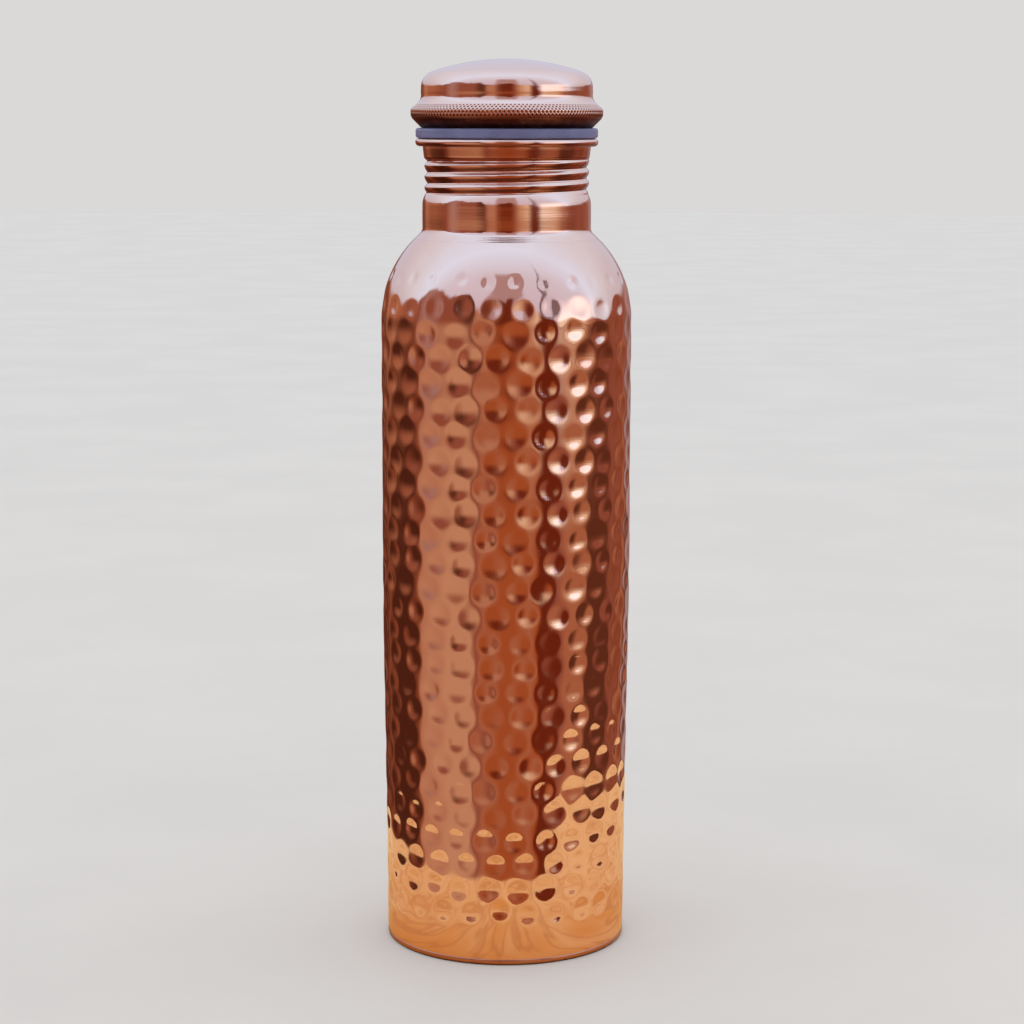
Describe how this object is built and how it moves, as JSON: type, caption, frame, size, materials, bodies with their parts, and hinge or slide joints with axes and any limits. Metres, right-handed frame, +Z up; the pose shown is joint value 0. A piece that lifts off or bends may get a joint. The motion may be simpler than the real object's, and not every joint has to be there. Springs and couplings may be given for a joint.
{
  "type": "copper water bottle",
  "caption": "Slim cylindrical drinking bottle of hammered sheet copper with a rolled-thread neck, a silicone sealing ring and a domed screw lid with a knurled bead.",
  "frame": {"origin": "on the bottle's axis, at the plane it stands on", "axes": "+Z up along the bottle's axis, from the base to the crown of the lid; X and Y are equivalent across the round body"},
  "size_m": [0.075, 0.075, 0.2662],
  "materials": {
    "hammered_copper": "polished copper sheet, hand hammered all over",
    "polished_copper": "polished copper sheet, spun and rolled",
    "plain_copper": "satin copper sheet, as pressed",
    "silicone": "translucent white silicone, satin"
  },
  "bodies": {
    "bottle": {"body_shell": "hammered_copper", "base_disc": "plain_copper", "neck_collar": "polished_copper"},
    "seal": {"seal_ring": "silicone"},
    "lid": {"lid_cap": "polished_copper", "lid_plug": "plain_copper"}
  },
  "joints": [
    {"name": "lid_lift", "type": "slide", "parent": "bottle", "child": "seal", "axis": [0, 0, 1], "range_m": [0, 0.0385]},
    {"name": "lid_turn", "type": "hinge", "parent": "seal", "child": "lid", "pos_m": [0, 0, 0.246], "axis": [0, 0, 1], "range_deg": [0, 4320]}
  ],
  "couplings": [
    {"joint": "lid_lift", "follows": "lid_turn", "m_per_rad": 0.0005093}
  ]
}
